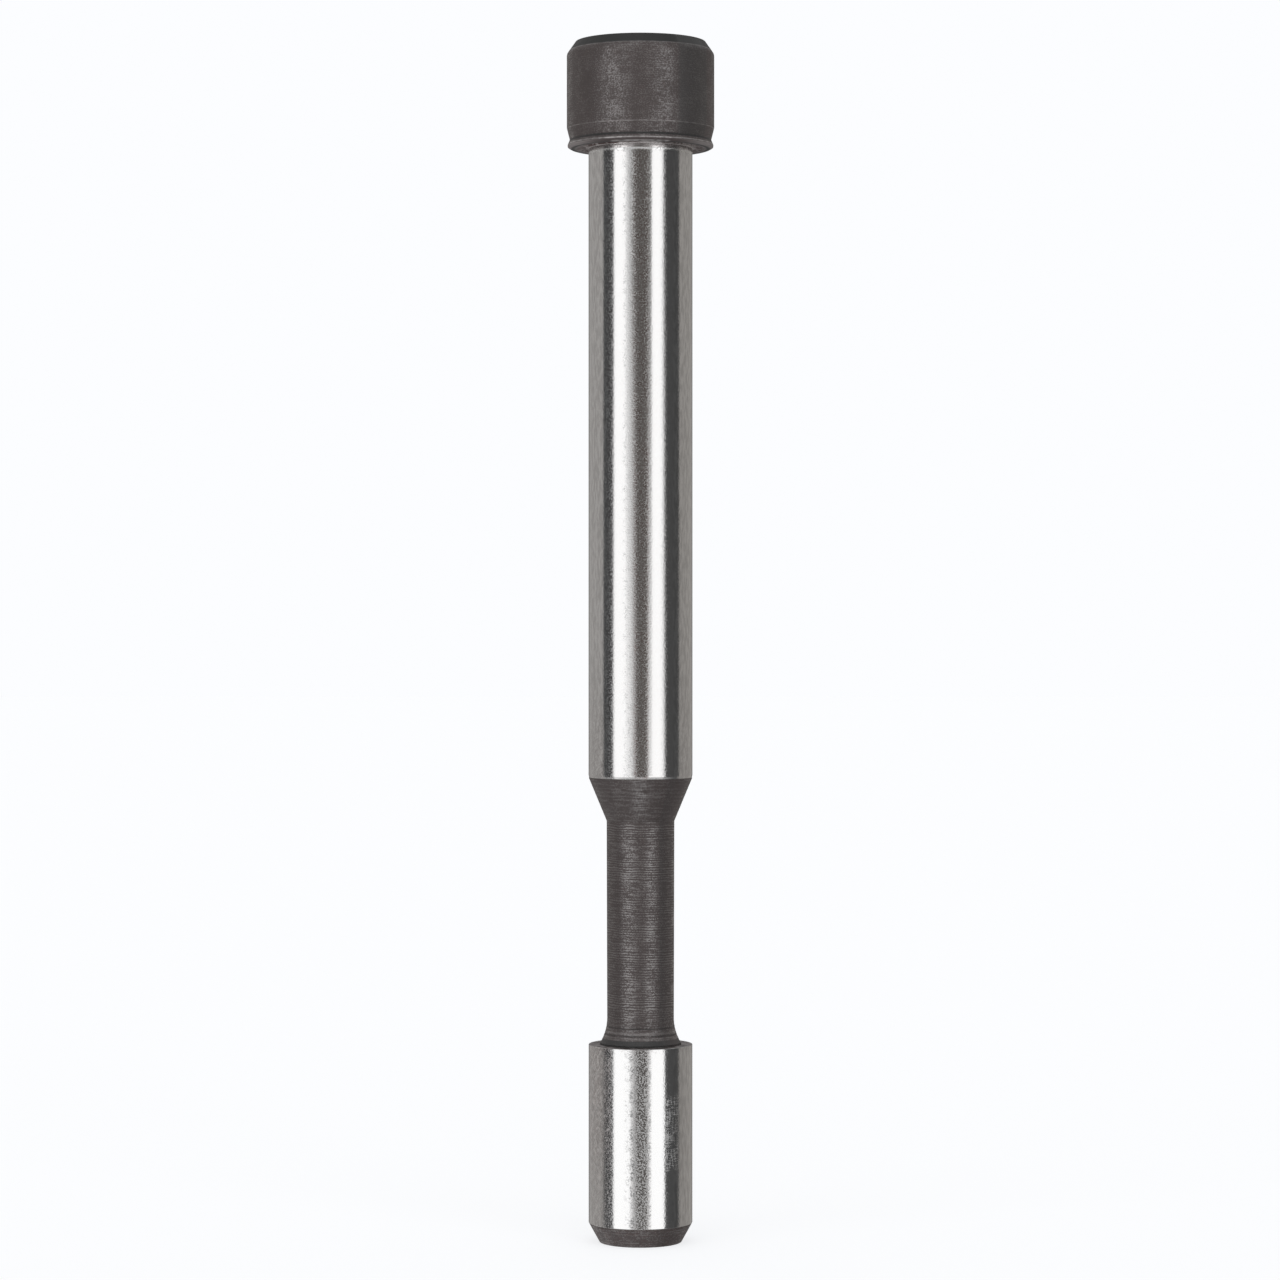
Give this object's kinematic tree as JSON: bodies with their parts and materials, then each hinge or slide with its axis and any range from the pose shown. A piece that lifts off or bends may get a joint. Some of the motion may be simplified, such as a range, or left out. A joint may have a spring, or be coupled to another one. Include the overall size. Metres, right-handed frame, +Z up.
{
  "type": "magnetic pickup tool",
  "caption": "Straight magnetic pickup tool with a ground shank, a relieved neck and a ground pilot; pulling its knob draws the magnet back and drops the load.",
  "frame": {"origin": "centre of the nose's end face, which the tool stands on", "axes": "+Z up the tool's axis from the nose to the knob; X and Y are across it"},
  "size_m": [0.0226, 0.0226, 0.1831],
  "materials": {
    "black_oxide": "turned steel, black oxide, satin",
    "ground_steel": "hardened steel, cylindrically ground, bright",
    "liner_brass": "turned brass",
    "bush_bronze": "sintered bronze, oiled",
    "plated_steel": "zinc-plated mild steel",
    "spring_steel": "hardened spring steel, oiled",
    "rod_steel": "drawn and polished steel bar",
    "magnet_nickel": "nickel-plated neodymium magnet",
    "screw_black": "black oxide alloy steel screw"
  },
  "bodies": {
    "barrel": {"nose_ring": "black_oxide", "pilot_sleeve": "ground_steel", "tip_liner": "liner_brass", "neck_core": "black_oxide", "neck_bush": "bush_bronze", "shank_sleeve": "ground_steel", "top_collar": "black_oxide", "rod_bush": "bush_bronze", "upper_spring_seat": "plated_steel", "return_spring": "spring_steel"},
    "plunger": {"lower_spring_seat": "plated_steel", "retaining_clip": "spring_steel", "pull_rod": "rod_steel", "magnet_carrier": "plated_steel", "carrier_pin": "spring_steel", "magnet": "magnet_nickel", "magnet_screw": "liner_brass", "release_knob": "black_oxide", "knob_lock_washer": "spring_steel", "knob_screw": "screw_black"}
  },
  "joints": [
    {"name": "magnet_release", "type": "slide", "parent": "barrel", "child": "plunger", "axis": [0, 0, 1], "range_m": [0, 0.012], "stiffness_N_per_m": 800, "springref_m": -0.008, "deforming": ["return_spring"]}
  ]
}
